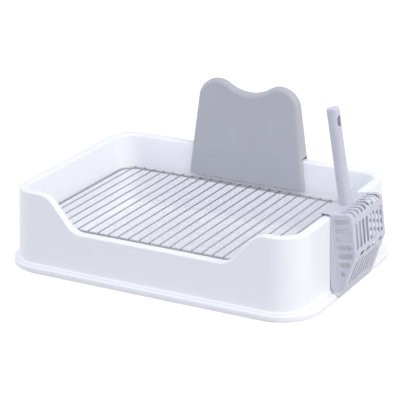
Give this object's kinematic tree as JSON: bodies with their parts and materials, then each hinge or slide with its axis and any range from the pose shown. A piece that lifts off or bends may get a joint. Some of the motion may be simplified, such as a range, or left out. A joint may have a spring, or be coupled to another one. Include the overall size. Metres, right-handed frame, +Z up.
{
  "type": "puppy potty tray",
  "caption": "Rectangular dog toilet tray with a lift-off wall ring, low front entrance, wire grate, hooked-on splash guard and a slotted scoop hung on the side.",
  "frame": {"origin": "middle of the resting face, on the sole of the centre pad, at floor level", "axes": "+X along the tray's length towards the wall that carries the scoop, +Y towards the back wall with the splash guard (the low entrance faces -Y), +Z up"},
  "size_m": [0.6142, 0.416, 0.3127],
  "materials": {
    "tray_plastic": "satin white",
    "foot_rubber": "matte",
    "grate_steel": "bright drawn wire",
    "guard_plastic": "satin grey",
    "scoop_plastic": "satin pale lilac grey",
    "handle_plastic": "satin pale lilac grey"
  },
  "bodies": {
    "base": {"base_pan": "tray_plastic", "foot_pad_1": "foot_rubber", "foot_pad_2": "foot_rubber", "foot_pad_3": "foot_rubber", "foot_pad_4": "foot_rubber", "foot_pad_5": "foot_rubber"},
    "surround": {"wall_surround": "tray_plastic"},
    "grate": {"grate_ring": "grate_steel", "grate_bar_01": "grate_steel", "grate_bar_02": "grate_steel", "grate_bar_03": "grate_steel", "grate_bar_04": "grate_steel", "grate_bar_05": "grate_steel", "grate_bar_06": "grate_steel", "grate_bar_07": "grate_steel", "grate_bar_08": "grate_steel", "grate_bar_09": "grate_steel", "grate_bar_10": "grate_steel", "grate_bar_11": "grate_steel", "grate_bar_12": "grate_steel", "grate_bar_13": "grate_steel", "grate_bar_14": "grate_steel", "grate_bar_15": "grate_steel", "grate_bar_16": "grate_steel", "grate_bar_17": "grate_steel", "grate_bar_18": "grate_steel", "grate_bar_19": "grate_steel", "grate_bar_20": "grate_steel", "grate_bar_21": "grate_steel", "grate_bar_22": "grate_steel", "grate_bar_23": "grate_steel", "grate_bar_24": "grate_steel"},
    "guard": {"splash_guard": "guard_plastic"},
    "scoop": {"scoop_basket": "scoop_plastic", "scoop_handle": "handle_plastic"}
  },
  "joints": [
    {"name": "surround_lift", "type": "slide", "parent": "base", "child": "surround", "axis": [0, 0, 1], "range_m": [0, 0.16]},
    {"name": "grate_lift", "type": "slide", "parent": "base", "child": "grate", "axis": [0, 0, 1], "range_m": [0, 0.1]},
    {"name": "guard_lift", "type": "slide", "parent": "surround", "child": "guard", "axis": [0, 0, 1], "range_m": [0, 0.12]},
    {"name": "scoop_lift", "type": "slide", "parent": "surround", "child": "scoop", "axis": [0, 0, 1], "range_m": [0, 0.16]}
  ]
}
